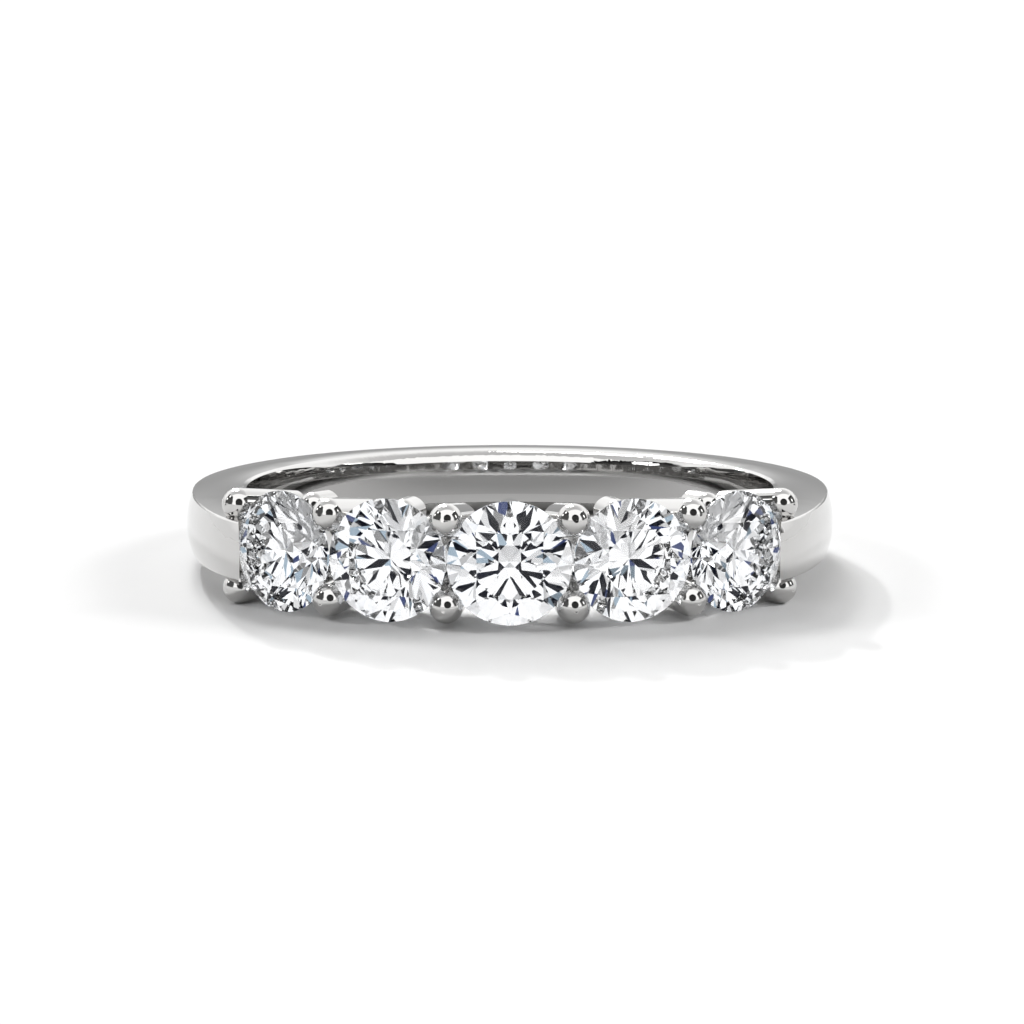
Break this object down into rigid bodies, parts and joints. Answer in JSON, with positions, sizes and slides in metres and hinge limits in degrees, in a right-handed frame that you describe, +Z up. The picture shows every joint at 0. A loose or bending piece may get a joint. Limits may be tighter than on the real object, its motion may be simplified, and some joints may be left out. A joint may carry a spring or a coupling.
{
  "type": "five stone ring",
  "caption": "Finger ring lying on its side: a polished court band whose flared shoulders carry a row of equal round brilliant stones in shared prongs.",
  "frame": {"origin": "on the surface it rests on, under the middle of its length and width", "axes": "+Z up, -Y towards the head with its stones, +X to the right seen from the head's side; the ring's axis leans about 2 degrees from +Z towards +Y, as the ring rests"},
  "size_m": [0.0212, 0.022, 0.0038],
  "materials": {
    "white_gold": "mirror polished white metal",
    "stone": "polished facets, colourless"
  },
  "bodies": {
    "root": {"ring_setting": "white_gold", "stone_1": "stone", "stone_2": "stone", "stone_3": "stone", "stone_4": "stone", "stone_5": "stone"}
  },
  "joints": []
}
